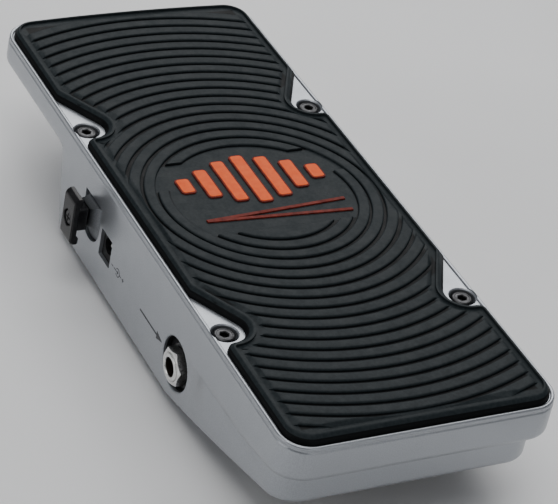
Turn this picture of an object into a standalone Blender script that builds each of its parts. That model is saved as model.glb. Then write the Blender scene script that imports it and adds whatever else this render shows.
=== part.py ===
"""Rigid rocker effect pedal: a silver die-cast wedge with a rubber tread mat on top.

Frame: X across the pedal, Y towards the toe end, Z up, metres. The pedal rests toe-down
on its middle sole pad, with the origin on the ground below the middle of the tread.
"""
import math

import bpy
import bmesh
from mathutils import Euler, Matrix, Vector

MM = 0.001
GAP = 0.3 * MM                      # clearance between pieces that touch

# Overall shape
LENGTH = 240 * MM                   # heel edge to the middle of the bowed toe edge
WIDTH = 95.4 * MM
CORNER = 10 * MM                    # plan radius of the cover's corners
TOE_BOW = 1.8 * MM                  # how far the toe corners lie behind the toe's middle
TOP = 42.8 * MM                     # top of the cover's bead
PARTING = TOP - 11 * MM             # joint between cover and housing
SOLE = 2.5 * MM                     # hull bottom above the ground, toe-down

# Lower housing
WALL = 2.5 * MM
HULL_HALF = WIDTH / 2 - 0.3 * MM
HULL_HEEL = -LENGTH / 2 + 0.4 * MM
KINK = -43 * MM                     # where the two flat bottom faces meet
ROCK = math.radians(11.3)           # angle between them, the pedal's whole throw
FRONT_LOW = 55.5 * MM               # front face, at the bottom and at the parting line
FRONT_HIGH = 61.5 * MM
HULL_ROUND = 2.6 * MM               # radius of the bottom edges
HEEL_CORNER = 9.5 * MM
FRONT_CORNER = 8 * MM
SHOULDER_HEEL = TOP - 14 * MM       # lower edge of the flush shoulder at the heel
SHOULDER_SIDE = TOP - 17.5 * MM     # and along the sides
STEP_HEEL = 4.2 * MM                # how far the hull steps in below the shoulder
STEP_SIDE = 3.8 * MM
STEP_START = -52 * MM               # the sides are flush in front of this

# Screws that hold the cover
SCREW_X = 42.4 * MM
SCREW_Y = (49.9 * MM, -62.8 * MM)
COUNTERBORE = 4.3 * MM
SCREW_HEAD = 3.5 * MM
SCREW_SHANK = 2.0 * MM
HEAD_SEAT = TOP - 4.2 * MM

# Tread mat
PLATE = TOP - 0.6 * MM              # cover's upper surface inside the bead
MAT_INSET = 1.75 * MM
MAT_THICK = 3.0 * MM

# Side fittings
JACK_Y = -45.6 * MM
JACK_Z = TOP - 26.2 * MM
POCKET_Z = TOP - 25.3 * MM
POCKET_R = 9.1 * MM
POCKET_DEPTH = 3 * MM
PLUG_R = 3.25 * MM                  # a 6.35 mm plug
DC_Y = 12.8 * MM
DC_Z = TOP - 22.2 * MM
NOTCH_Y = 26 * MM
NOTCH_HALF = 7 * MM
NOTCH_LOW = TOP - 27.4 * MM

# Inside
FLOOR = SOLE + WALL
BOARD = 13.6 * MM                   # underside of the main board
BOARD_THICK = 1.6 * MM
BOARD_BOX = (-38 * MM, -33 * MM, 38 * MM, 20 * MM)
SWITCH_Y = 33 * MM
SPRING_LOW = 7.5 * MM               # return spring between plunger flange and bracket
SPRING_TOP = 15 * MM
BATTERY_LOW = TOP - 21.4 * MM


# ---------------------------------------------------------------- materials

def make_material(name, colour, roughness, metallic=0.0):
    material = bpy.data.materials.new(name)
    material.use_nodes = True
    shader = material.node_tree.nodes["Principled BSDF"]
    shader.inputs["Base Color"].default_value = (*colour, 1.0)
    shader.inputs["Roughness"].default_value = roughness
    shader.inputs["Metallic"].default_value = metallic
    material.diffuse_color = (*colour, 1.0)
    return material


def make_materials():
    return {
        "silver": make_material("silver_paint", (0.46, 0.47, 0.48), 0.38, 0.7),
        "rubber": make_material("black_rubber", (0.045, 0.05, 0.053), 0.62),
        "plastic": make_material("black_plastic", (0.02, 0.02, 0.021), 0.35),
        "nickel": make_material("nickel", (0.78, 0.77, 0.74), 0.22, 1.0),
        "dark_steel": make_material("dark_steel", (0.10, 0.10, 0.105), 0.4, 0.9),
        "steel": make_material("steel", (0.55, 0.56, 0.57), 0.35, 1.0),
        "board": make_material("board_green", (0.03, 0.16, 0.08), 0.45),
        "chip": make_material("chip_black", (0.025, 0.025, 0.028), 0.5),
        "can": make_material("capacitor_can", (0.6, 0.6, 0.62), 0.3, 0.9),
        "battery": make_material("battery_case", (0.10, 0.11, 0.13), 0.35, 0.4),
        "foam": make_material("grey_foam", (0.16, 0.16, 0.17), 0.95),
        "contact": make_material("contact_brass", (0.72, 0.58, 0.30), 0.3, 1.0),
    }


# ---------------------------------------------------------------- mesh helpers

def add_object(name, bm, material, smooth=True, location=(0, 0, 0), parent=None):
    """Turn a bmesh into a linked object with outward faces."""
    bmesh.ops.recalc_face_normals(bm, faces=bm.faces)
    mesh = bpy.data.meshes.new(name)
    bm.to_mesh(mesh)
    bm.free()
    if material:
        mesh.materials.append(material)
    if smooth:
        mesh.shade_smooth()
        mesh.set_sharp_from_angle(angle=math.radians(35))
    obj = bpy.data.objects.new(name, mesh)
    obj.location = location
    obj.parent = parent
    bpy.context.scene.collection.objects.link(obj)
    return obj


def loft(rings):
    """Skin closed rings of equal point count, with a flat cap at both ends."""
    bm = bmesh.new()
    rows = [[bm.verts.new(point) for point in ring] for ring in rings]
    count = len(rows[0])
    for lower, upper in zip(rows, rows[1:]):
        for i in range(count):
            j = (i + 1) % count
            bm.faces.new((lower[i], lower[j], upper[j], upper[i]))
    bm.faces.new(rows[0])
    bm.faces.new(rows[-1])
    return bm


def prism(outline, low, high):
    """Extrude an outline in the XY plane between two heights."""
    return loft([[(x, y, z) for x, y in outline] for z in (low, high)])


def side_prism(outline, half_width):
    """Extrude an outline in the YZ plane across X."""
    return loft([[(x, y, z) for y, z in outline] for x in (-half_width, half_width)])


def circle(radius, segments, centre=(0, 0)):
    steps = [2 * math.pi * i / segments for i in range(segments)]
    return [(centre[0] + radius * math.cos(a), centre[1] + radius * math.sin(a)) for a in steps]


def rounded_rectangle(low, high, radius, steps=5):
    """Counter-clockwise outline with round corners, from two opposite corners."""
    corners = [(high[0] - radius, high[1] - radius, 0), (low[0] + radius, high[1] - radius, 90),
               (low[0] + radius, low[1] + radius, 180), (high[0] - radius, low[1] + radius, 270)]
    points = []
    for cx, cy, start in corners:
        for i in range(steps + 1):
            angle = math.radians(start + 90 * i / steps)
            points.append((cx + radius * math.cos(angle), cy + radius * math.sin(angle)))
    return points


def turned(profile, segments=32):
    """Solid or tube of revolution about Z from a closed (radius, height) profile."""
    bm = bmesh.new()
    columns = []
    for i in range(segments):
        angle = 2 * math.pi * i / segments
        columns.append([bm.verts.new((r * math.cos(angle), r * math.sin(angle), z))
                        for r, z in profile])
    count = len(profile)
    for i in range(segments):
        here, there = columns[i], columns[(i + 1) % segments]
        for j in range(count):
            k = (j + 1) % count
            bm.faces.new((here[j], there[j], there[k], here[k]))
    return bm


def stepped(levels, segments=32):
    """Solid of revolution from (radius, height) levels, bottom to top, capped flat."""
    return loft([[(x, y, z) for x, y in circle(r, segments)] for r, z in levels])


def block(low, high, bevel=0.0):
    """Box between two corners, its edges optionally rounded off."""
    bm = bmesh.new()
    bmesh.ops.create_cube(bm, size=1.0)
    size = Vector(high) - Vector(low)
    middle = (Vector(high) + Vector(low)) / 2
    for vert in bm.verts:
        vert.co = Vector([vert.co[i] * size[i] + middle[i] for i in range(3)])
    if bevel:
        bmesh.ops.bevel(bm, geom=bm.edges[:], offset=bevel, segments=2, profile=0.5,
                        affect="EDGES")
    return bm


def moved(bm, matrix):
    bmesh.ops.transform(bm, matrix=matrix, verts=bm.verts)
    return bm


def boolean(target, tool, operation):
    """Apply a hidden tool object to a target with an exact Boolean."""
    tool.hide_render = True
    tool.display_type = "WIRE"
    modifier = target.modifiers.new(f"{operation.lower()}_{tool.name}", "BOOLEAN")
    modifier.operation = operation
    modifier.solver = "EXACT"
    modifier.object = tool


def cut(target, bm, name, **place):
    boolean(target, add_object(f"cutter_{name}", bm, None, False, **place), "DIFFERENCE")


def fuse(target, bm, name, **place):
    boolean(target, add_object(f"guide_{name}", bm, None, False, **place), "UNION")


def post(x, y, low, high, radius, segments=24):
    return prism(circle(radius, segments, (x, y)), low, high)


# ---------------------------------------------------------------- cover and mat

def plan_outline(inset, corner_steps=6, edge_steps=8):
    """The tread's plan outline: a rounded rectangle with a bowed toe edge."""
    half = WIDTH / 2
    low = (-half + inset, -LENGTH / 2 + inset)
    high = (half - inset, LENGTH / 2 - inset)
    base = rounded_rectangle(low, high, max(CORNER - inset, 0.5 * MM), corner_steps)
    toe_right, toe_left = base[corner_steps], base[corner_steps + 1]
    extra = [(toe_right[0] + (toe_left[0] - toe_right[0]) * i / edge_steps, toe_right[1])
             for i in range(1, edge_steps)]
    points = base[:corner_steps + 1] + extra + base[corner_steps + 1:]
    return [(x, y - TOE_BOW * (x / half) ** 2 if y > 0 else y) for x, y in points]


def plan_ring(inset, z, **steps):
    return [(x, y, z) for x, y in plan_outline(inset, **steps)]


def make_top_cover(materials):
    """Die-cast tray: plate, raised bead, shadow groove, rim, ribs and screw bosses."""
    skirt = TOP - 10.85 * MM
    under = TOP - 3.6 * MM
    profile = [(1.4, -0.6), (1.2, -0.15), (0.8, 0.0), (0.4, -0.15), (0.15, -0.7), (0.5, -1.3),
               (0.5, -2.0), (0.0, -2.5), (0.0, -8.4), (0.4, -9.8), (1.2, -10.6), (2.0, -10.85)]
    rings = [plan_ring(inset * MM, TOP + z * MM) for inset, z in profile]
    rings.append(plan_ring(2.8 * MM, skirt))
    rings.append(plan_ring(3.1 * MM, under))
    cover = add_object("top_cover", loft(rings), materials["silver"])
    inner = WIDTH / 2 - 3.0 * MM
    fuse(cover, block((-inner, FRONT_HIGH - 2.6 * MM, skirt + 0.05 * MM),
                      (inner, FRONT_HIGH, under + 1 * MM)), "bulkhead")
    for i, x in enumerate((-24 * MM, 0, 24 * MM)):
        fuse(cover, block((x - 1 * MM, FRONT_HIGH - 0.5 * MM, TOP - 8 * MM),
                          (x + 1 * MM, LENGTH / 2 - 4.5 * MM, under + 1 * MM)), f"toe_rib_{i}")
    for i, (x, y) in enumerate(screw_places()):
        fuse(cover, post(x, y, skirt + 0.05 * MM, under + 1 * MM, 4.9 * MM, 20), f"boss_{i}")
        cut(cover, post(x, y, HEAD_SEAT, TOP + 1 * MM, COUNTERBORE, 32), f"counterbore_{i}")
        cut(cover, post(x, y, skirt - 1 * MM, TOP, SCREW_SHANK + GAP, 16), f"screw_hole_{i}")
    return cover


def screw_places():
    return [(side * SCREW_X, y) for y in SCREW_Y for side in (-1, 1)]


def notch_outline(side, screw_y, grow=0.0):
    """One bay in the mat: a long ramp on the toe side and a round return at the screw."""
    edge = WIDTH / 2 + 4 * MM
    radius = 6.3 * MM + grow
    points = [(edge, screw_y + 20 * MM + 2 * grow), (46.4 * MM, screw_y + 20 * MM + 2 * grow)]
    for i in range(9):
        angle = math.radians(150 + 115 * i / 8)
        points.append((SCREW_X + radius * math.cos(angle), screw_y + radius * math.sin(angle)))
    points += [(45.2 * MM, screw_y - 8.2 * MM - grow), (46.6 * MM, screw_y - 12 * MM - grow),
               (edge, screw_y - 12.6 * MM - grow)]
    return [(side * x, y) for x, y in points]


def make_tread_mat(materials):
    """Rubber mat with a sloping edge and four bays round the screws."""
    low = PLATE + GAP
    profile = [(0.0, 0.0), (0.3, 1.9), (1.1, 2.7), (2.0, 3.0)]
    rings = [plan_ring(MAT_INSET + inset * MM, low + z / 3.0 * (MAT_THICK - GAP))
             for inset, z in profile]
    mat = add_object("tread_mat", loft(rings), materials["rubber"])
    for i, (x, y) in enumerate(screw_places()):
        side = math.copysign(1, x)
        levels = [(0.0, low - 1 * MM), (0.0, low), (0.4 * MM, low + 1.7 * MM),
                  (2.2 * MM, low + MAT_THICK), (2.2 * MM, low + MAT_THICK + 1 * MM)]
        rings = [[(px, py, z) for px, py in notch_outline(side, y, grow)] for grow, z in levels]
        cut(mat, loft(rings), f"bay_{i}")
    return mat


def make_cover_screws(materials):
    """Socket-head screws, heads down in the counterbores."""
    for i, (x, y) in enumerate(screw_places()):
        head = [(SCREW_SHANK, -14 * MM), (SCREW_SHANK, GAP), (SCREW_HEAD, GAP),
                (SCREW_HEAD, 2.7 * MM), (SCREW_HEAD - 0.7 * MM, 3.35 * MM)]
        screw = add_object(f"cover_screw_{i + 1}", stepped(head, 28), materials["dark_steel"],
                           location=(x, y, HEAD_SEAT))
        cut(screw, prism(circle(1.5 * MM, 6), 1.5 * MM, 4.5 * MM), f"socket_{i}",
            location=(x, y, HEAD_SEAT))


# ---------------------------------------------------------------- lower housing

def hull_bottom(y):
    """Height of the outer bottom: flat in front of the kink, rising behind it."""
    return SOLE + max(KINK - y, 0.0) * math.tan(ROCK)


def shoulder_low(y):
    """Lower edge of the flush shoulder, deeper along the sides than at the heel."""
    blend = min(max((y - HULL_HEEL) / (26 * MM), 0.0), 1.0)
    return SHOULDER_HEEL + (SHOULDER_SIDE - SHOULDER_HEEL) * blend


def half_plan(step, inset, z):
    """Right half of the hull's plan outline, heel to front; step is 0 above the shoulder."""
    heel = HULL_HEEL + step * STEP_HEEL + inset
    lean = (FRONT_HIGH - FRONT_LOW) / (PARTING - SOLE)
    front = FRONT_HIGH - lean * (PARTING - z) - inset

    def side(y):
        share = max(STEP_START - y, 0.0) / (STEP_START - HULL_HEEL)
        return HULL_HALF - inset - step * STEP_SIDE * share ** 1.5

    points = []
    radius = HEEL_CORNER - inset
    centre = (side(heel + radius) - radius, heel + radius)
    for i in range(7):
        angle = math.radians(-90 + 90 * i / 6)
        points.append((centre[0] + radius * math.cos(angle), centre[1] + radius * math.sin(angle)))
    for y in (-98, -87, -76, -66, -58, STEP_START / MM, KINK / MM, -20, 20):
        points.append((side(y * MM), y * MM))
    radius = FRONT_CORNER - inset
    centre = (HULL_HALF - inset - radius, front - radius)
    for i in range(6):
        angle = math.radians(90 * i / 5)
        points.append((centre[0] + radius * math.cos(angle), centre[1] + radius * math.sin(angle)))
    return points


def hull_ring(step, inset, height):
    """Closed ring round the hull; height gives z from y, and the front leans with it."""
    right = [(x, y, height(y)) for x, y in half_plan(step, inset, height(FRONT_LOW))]
    return right + [(-x, y, z) for x, y, z in reversed(right)]


def capped_hull(rings):
    """Loft the rings and close the kinked bottom with cross-strips."""
    bm = bmesh.new()
    rows = [[bm.verts.new(point) for point in ring] for ring in rings]
    count = len(rows[0])
    for upper, lower in zip(rows, rows[1:]):
        for i in range(count):
            j = (i + 1) % count
            bm.faces.new((upper[i], upper[j], lower[j], lower[i]))
    bm.faces.new(rows[0])
    last = rows[-1]
    for i in range(count // 2 - 1):
        bm.faces.new((last[i], last[i + 1], last[count - 2 - i], last[count - 1 - i]))
    return bm


def hull_outside(rim):
    """Outer skin: flush shoulder, step in below it, and rounded bottom edges."""
    rings = [hull_ring(0, 0, lambda y: rim)]
    for step, rise in ((0, 3.0), (0.12, 1.2), (0.4, 0.3), (1, 0.0)):
        rings.append(hull_ring(step, 0, lambda y, rise=rise: shoulder_low(y) + rise * MM))
    for inset, rise in ((0, 1.0), (0.13, 0.5), (0.5, 0.13), (1, 0.0)):
        rings.append(hull_ring(1, inset * HULL_ROUND,
                               lambda y, rise=rise: hull_bottom(y) + rise * HULL_ROUND))
    return capped_hull(rings)


def hull_inside(top):
    """The cavity, a wall's thickness inside the stepped skin."""
    return capped_hull([hull_ring(1, WALL, lambda y: top),
                        hull_ring(1, WALL, lambda y: hull_bottom(y) + WALL)])


def make_lower_housing(materials):
    """Wedge hull with screw bosses, board posts and the openings in its sides."""
    rim = TOP - 11.15 * MM
    hull = add_object("lower_housing", hull_outside(rim), materials["silver"])
    cut(hull, hull_inside(rim + 5 * MM), "cavity")
    for i, side in enumerate((-1, 1)):
        outer = Matrix.Translation((side * HULL_HALF, JACK_Y, POCKET_Z))
        outer = outer @ Euler((0, side * math.pi / 2, 0)).to_matrix().to_4x4()
        fuse(hull, moved(prism(circle(11.3 * MM, 32), -5.5 * MM, -0.4 * MM), outer), f"cup_{i}")
        cut(hull, moved(prism(circle(POCKET_R, 40), -POCKET_DEPTH, 2 * MM), outer), f"pocket_{i}")
        hole = Matrix.Translation((0, 0, JACK_Z - POCKET_Z)) @ outer
        cut(hull, moved(prism(circle(4.95 * MM, 32), -9 * MM, 2 * MM), hole), f"jack_hole_{i}")
    for i, (x, y) in enumerate(screw_places()):
        low = hull_bottom(y) + 1.7 * MM
        fuse(hull, post(x, y, low, rim - 0.02 * MM, 4.2 * MM, 20), f"boss_{i}")
        cut(hull, post(x, y, HEAD_SEAT - 15 * MM, rim + 2 * MM, SCREW_SHANK + GAP, 16),
            f"boss_bore_{i}")
    for i, (x, y) in enumerate(board_screw_places()):
        fuse(hull, post(x, y, FLOOR - 1 * MM, BOARD - GAP, 3 * MM, 16), f"board_post_{i}")
        cut(hull, post(x, y, FLOOR + 1 * MM, BOARD + 2 * MM, 1.55 * MM, 12), f"post_bore_{i}")
    for i, x in enumerate((-20 * MM, 20 * MM)):
        fuse(hull, post(x, SWITCH_Y, FLOOR - 1 * MM, 15 * MM, 3.4 * MM, 16), f"switch_post_{i}")
        cut(hull, post(x, SWITCH_Y, 8 * MM, 17 * MM, 1.75 * MM, 12), f"switch_bore_{i}")
    cut(hull, post(0, SWITCH_Y, 0, FLOOR + 2 * MM, 5.4 * MM, 32), "plunger_hole")
    cut(hull, slab_x(notch_u(NOTCH_HALF, NOTCH_LOW, rim + 2 * MM),
                     -HULL_HALF - 2 * MM, -HULL_HALF + 4 * MM), "cleat_notch")
    cut(hull, block((-HULL_HALF - 2 * MM, DC_Y - 4.5 * MM, DC_Z - 5.2 * MM),
                    (-HULL_HALF + 6 * MM, DC_Y + 4.5 * MM, DC_Z + 5.2 * MM)), "dc_opening")
    return hull


def notch_u(half, low, high, steps=10):
    """U outline in the YZ plane, round at the bottom and open at the top."""
    points = [(NOTCH_Y - half, high)]
    for i in range(steps + 1):
        angle = math.pi + math.pi * i / steps
        points.append((NOTCH_Y + half * math.cos(angle), low + half + half * math.sin(angle)))
    points.append((NOTCH_Y + half, high))
    return points


def slab_x(outline, x0, x1):
    """Extrude a YZ outline between two X positions."""
    return loft([[(x, y, z) for y, z in outline] for x in (x0, x1)])


# ---------------------------------------------------------------- cable cleat

def make_cable_cleat(materials):
    """T-shaped cleat on the left wall, screwed to the shoulder of a plate in the U notch."""
    plastic = materials["plastic"]
    top = TOP - 11.5 * MM
    face = -HULL_HALF + 1.1 * MM
    inner = -HULL_HALF + WALL + GAP
    base = add_object("cleat_base",
                      slab_x(notch_u(NOTCH_HALF - GAP, NOTCH_LOW + GAP, top), face, inner),
                      materials["silver"], smooth=False)
    fuse(base, slab_x(notch_u(NOTCH_HALF + 1.6 * MM, NOTCH_LOW - 1.6 * MM, top),
                      inner - 0.05 * MM, inner + 1.5 * MM), "cleat_lip")
    bore_z = TOP - 17.5 * MM
    shoulder = -HULL_HALF - 3.2 * MM
    fuse(base, block((shoulder, NOTCH_Y - 3.5 * MM, bore_z - 3.6 * MM),
                     (face + 0.5 * MM, NOTCH_Y + 3.5 * MM, bore_z + 4.7 * MM)), "cleat_shoulder")
    bore = Matrix.Translation((-HULL_HALF, NOTCH_Y, bore_z))
    bore = bore @ Euler((0, -math.pi / 2, 0)).to_matrix().to_4x4()
    cut(base, moved(prism(circle(1.8 * MM, 16), -10 * MM, 20 * MM), bore), "base_bore")
    flange_out = -WIDTH / 2 - 9 * MM
    flange_in = -WIDTH / 2 - 5.8 * MM
    head = add_object("cable_cleat",
                      block((flange_out, NOTCH_Y - 4.4 * MM, bore_z - 8.8 * MM),
                            (flange_in, NOTCH_Y + 4.4 * MM, bore_z + 9.4 * MM), 0.8 * MM),
                      plastic)
    fuse(head, block((flange_in - 1 * MM, NOTCH_Y - 3.5 * MM, bore_z - 3.6 * MM),
                     (shoulder - GAP, NOTCH_Y + 3.5 * MM, bore_z + 4.7 * MM)), "cleat_stem")
    cut(head, moved(prism(circle(1.8 * MM, 16), -10 * MM, 20 * MM), bore), "head_bore")
    seat = HULL_HALF - abs(flange_out) + 1.6 * MM
    cut(head, moved(prism(circle(2.9 * MM, 28), -seat, 20 * MM), bore), "head_recess")
    levels = [(1.5 * MM, 2 * MM - 6 * MM), (1.5 * MM, -seat + GAP), (2.5 * MM, -seat + GAP),
              (2.5 * MM, -seat + 1.0 * MM), (2.1 * MM, -seat + 1.4 * MM)]
    screw = add_object("cleat_screw", moved(stepped(levels, 24), bore), materials["dark_steel"])
    slot = block((-0.35 * MM, -3 * MM, -seat + 0.8 * MM), (0.35 * MM, 3 * MM, -seat + 3 * MM))
    cross = block((-3 * MM, -0.35 * MM, -seat + 0.8 * MM), (3 * MM, 0.35 * MM, -seat + 3 * MM))
    cut(screw, moved(slot, bore), "screw_slot")
    cut(screw, moved(cross, bore), "screw_cross")


# ---------------------------------------------------------------- jacks

def make_phone_jack(label, side, materials):
    """6.35 mm jack in a side pocket: bushing, washer, hex nut, body and tip contact.

    Local +Z points out of the wall; local up is +X on the left wall and -X on the right.
    """
    mount = bpy.data.objects.new(f"{label}_mount", None)
    mount.location = (side * HULL_HALF, JACK_Y, JACK_Z)
    mount.rotation_euler = (0, side * math.pi / 2, 0)
    bpy.context.scene.collection.objects.link(mount)
    up = -side
    bushing = [(PLUG_R, -6.1 * MM), (7 * MM, -6.1 * MM), (7 * MM, -5.8 * MM), (4.6 * MM, -5.8 * MM),
               (4.6 * MM, 1.7 * MM), (4.2 * MM, 2.1 * MM), (PLUG_R, 2.1 * MM)]
    add_object(f"{label}_bushing", turned(bushing, 32), materials["nickel"], parent=mount)
    washer = [(4.9 * MM, -2.7 * MM), (7.2 * MM, -2.7 * MM), (7.2 * MM, -2.1 * MM),
              (4.9 * MM, -2.1 * MM)]
    add_object(f"{label}_washer", turned(washer, 32), materials["nickel"], parent=mount)
    nut = add_object(f"{label}_nut",
                     moved(prism(circle(6.5 * MM, 6), -1.8 * MM, 1.6 * MM),
                           Matrix.Rotation(math.radians(15), 4, "Z")),
                     materials["nickel"], smooth=False, parent=mount)
    cut(nut, prism(circle(4.9 * MM, 32), -4 * MM, 4 * MM), f"{label}_nut_bore", parent=mount)
    body = add_object(f"{label}_body",
                      block((-6.3 * MM, -7.6 * MM, -33 * MM), (6.3 * MM, 7.6 * MM, -6.4 * MM)),
                      materials["plastic"], smooth=False, parent=mount)
    cut(body, prism(circle(PLUG_R + 0.15 * MM, 24), -30.5 * MM, 1 * MM), f"{label}_bore",
        parent=mount)
    window = sorted((up * 1 * MM, up * 9 * MM))
    cut(body, block((window[0], -2.6 * MM, -30.8 * MM), (window[1], 2.6 * MM, -24.2 * MM)),
        f"{label}_window", parent=mount)
    leaf = [(7.3, -10), (6.7, -10), (6.7, -25.6), (2.3, -27.5), (6.7, -29.4), (6.7, -31.0),
            (7.3, -31.0), (7.3, -29.0), (3.8, -27.5), (7.3, -26.0)]
    root = -10 * MM
    contact = loft([[(up * (x - 7.0) * MM, y, z * MM - root) for x, z in leaf]
                    for y in (-2 * MM, 2 * MM)])
    add_object(f"{label}_contact", contact, materials["contact"], smooth=False,
               location=(up * 7.0 * MM, 0, root), parent=mount)


def make_dc_jack(materials):
    """Power socket: a boxed barrel behind the rectangular opening, with its centre pin."""
    face = -HULL_HALF + 1.0 * MM
    body = add_object("dc_jack_body",
                      block((face, DC_Y - 4.2 * MM, DC_Z - 4.9 * MM),
                            (face + 14 * MM, DC_Y + 4.2 * MM, DC_Z + 4.9 * MM)),
                      materials["plastic"], smooth=False)
    axis = Matrix.Translation((face, DC_Y, DC_Z + 0.6 * MM))
    axis = axis @ Euler((0, -math.pi / 2, 0)).to_matrix().to_4x4()
    cut(body, moved(prism(circle(3.1 * MM, 28), -9.5 * MM, 2 * MM), axis), "dc_bore")
    pin = stepped([(1.0 * MM, -9.2 * MM), (1.0 * MM, -1.4 * MM), (0.5 * MM, -0.9 * MM)], 16)
    add_object("dc_jack_pin", moved(pin, axis), materials["nickel"])


# ---------------------------------------------------------------- electronics

def board_screw_places():
    x0, y0, x1, y1 = BOARD_BOX
    return [(x, y) for y in (y0 + 5 * MM, y1 - 24 * MM) for x in (x0 + 5 * MM, x1 - 5 * MM)]


def make_board(materials):
    """Main board on four posts, with its motion sensor, chips and capacitors."""
    x0, y0, x1, y1 = BOARD_BOX
    top = BOARD + BOARD_THICK
    board = add_object("main_board",
                       prism(rounded_rectangle((x0, y0), (x1, y1), 2 * MM, 3), BOARD, top),
                       materials["board"], smooth=False)
    for i, (x, y) in enumerate(board_screw_places()):
        cut(board, post(x, y, BOARD - 2 * MM, top + 2 * MM, 1.6 * MM, 16), f"board_hole_{i}")
        levels = [(1.25 * MM, -5 * MM), (1.25 * MM, GAP), (2.4 * MM, GAP), (2.3 * MM, 1.2 * MM),
                  (1.5 * MM, 1.9 * MM)]
        screw = add_object(f"board_screw_{i + 1}", stepped(levels, 20), materials["steel"],
                           location=(x, y, top))
        cut(screw, block((-3 * MM, -0.3 * MM, 1.1 * MM), (3 * MM, 0.3 * MM, 4 * MM)),
            f"board_screw_slot_{i}", location=(x, y, top))
    chips = {"motion_sensor": (-6, -16, 5, 5, 1.1), "audio_chip": (10, -20, 10, 6, 1.8),
             "control_chip": (6, -4, 9, 9, 1.4), "power_chip": (-24, 3, 6.5, 6, 2.2)}
    for name, (x, y, wide, deep, tall) in chips.items():
        low = ((x - wide / 2) * MM, (y - deep / 2) * MM, top + GAP)
        high = ((x + wide / 2) * MM, (y + deep / 2) * MM, top + GAP + tall * MM)
        add_object(name, block(low, high, 0.15 * MM), materials["chip"], smooth=False)
    for i, (x, y) in enumerate(((26, -22), (26, -12), (-16, -22))):
        levels = [(3.15, 0.0), (3.15, 1.0), (2.85, 1.5), (3.15, 2.0), (3.15, 8.2), (2.7, 8.6)]
        levels = [(r * MM, z * MM) for r, z in levels]
        add_object(f"capacitor_{i + 1}", stepped(levels, 24), materials["can"],
                   location=(x * MM, y * MM, top + GAP))


def make_battery(materials):
    """Nine-volt block lying across the heel on a foam wedge, with its snap."""
    front, back, half = -66.6 * MM, -92.6 * MM, 24.2 * MM
    low, high = BATTERY_LOW, BATTERY_LOW + 17.2 * MM
    battery = add_object("battery", block((-half, back, low), (half, front, high), 1.2 * MM),
                         materials["battery"])
    snap = add_object("battery_snap",
                      block((half + GAP, back + 1 * MM, low + 1.2 * MM),
                            (half + 4 * MM, front - 1 * MM, high - 1.2 * MM), 0.6 * MM),
                      materials["plastic"])
    for i, y in enumerate(((front + back) / 2 - 6.3 * MM, (front + back) / 2 + 6.3 * MM)):
        stud = Matrix.Translation((half, y, (low + high) / 2))
        stud = stud @ Euler((0, math.pi / 2, 0)).to_matrix().to_4x4()
        fuse(battery, moved(prism(circle(2.8 * MM, 16), -1 * MM, 2.6 * MM), stud), f"stud_{i}")
        cut(snap, moved(prism(circle(3.3 * MM, 16), -1 * MM, 3.0 * MM), stud), f"snap_hole_{i}")
    near, far, clear = front - 1 * MM, back + 4 * MM, WALL + 0.4 * MM
    wedge = [(near, hull_bottom(near) + clear), (near, low - GAP),
             (far, low - GAP), (far, hull_bottom(far) + clear)]
    add_object("battery_pad", side_prism(wedge, 18 * MM), materials["foam"], smooth=False)


# ---------------------------------------------------------------- toe switch

def make_toe_switch(materials):
    """Bypass switch under the toe: plunger, return spring, switch and bracket."""
    drive = bpy.data.objects.new("toe_switch_axis", None)
    drive.location = (0, SWITCH_Y, 0)
    bpy.context.scene.collection.objects.link(drive)
    levels = [(4.2 * MM, 0.3 * MM), (5 * MM, 1.1 * MM), (5 * MM, FLOOR + GAP),
              (8 * MM, FLOOR + GAP), (8 * MM, SPRING_LOW - GAP), (1.75 * MM, SPRING_LOW - GAP),
              (1.75 * MM, 19.5 * MM)]
    add_object("toe_plunger", stepped(levels, 28), materials["plastic"], parent=drive)
    make_return_spring(SPRING_LOW, SPRING_TOP, drive, materials["steel"])
    plate_low, plate_high = SPRING_TOP + GAP, SPRING_TOP + GAP + 1.2 * MM
    bracket = add_object("switch_bracket",
                         prism(rounded_rectangle((-25 * MM, -7 * MM), (25 * MM, 7 * MM), 2 * MM, 3),
                               plate_low, plate_high),
                         materials["steel"], smooth=False, location=(0, SWITCH_Y, 0))
    cut(bracket, post(0, 0, 10 * MM, 20 * MM, 2.6 * MM, 20), "actuator_hole",
        location=(0, SWITCH_Y, 0))
    for i, x in enumerate((-20 * MM, 20 * MM)):
        cut(bracket, post(x, 0, 10 * MM, 20 * MM, 1.8 * MM, 16), f"bracket_hole_{i}",
            location=(0, SWITCH_Y, 0))
        levels = [(1.4 * MM, -6 * MM), (1.4 * MM, GAP), (2.7 * MM, GAP), (2.6 * MM, 1.4 * MM),
                  (1.7 * MM, 2.1 * MM)]
        add_object(f"bracket_screw_{i + 1}", stepped(levels, 20), materials["steel"],
                   location=(x, SWITCH_Y, plate_high))
    switch = add_object("toe_switch",
                        block((-6.5 * MM, -6.5 * MM, plate_high + GAP),
                              (6.5 * MM, 6.5 * MM, 27 * MM), 0.4 * MM),
                        materials["plastic"], smooth=False, location=(0, SWITCH_Y, 0))
    cut(switch, post(0, 0, 10 * MM, 23 * MM, 2.2 * MM, 20), "switch_bore",
        location=(0, SWITCH_Y, 0))


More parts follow.
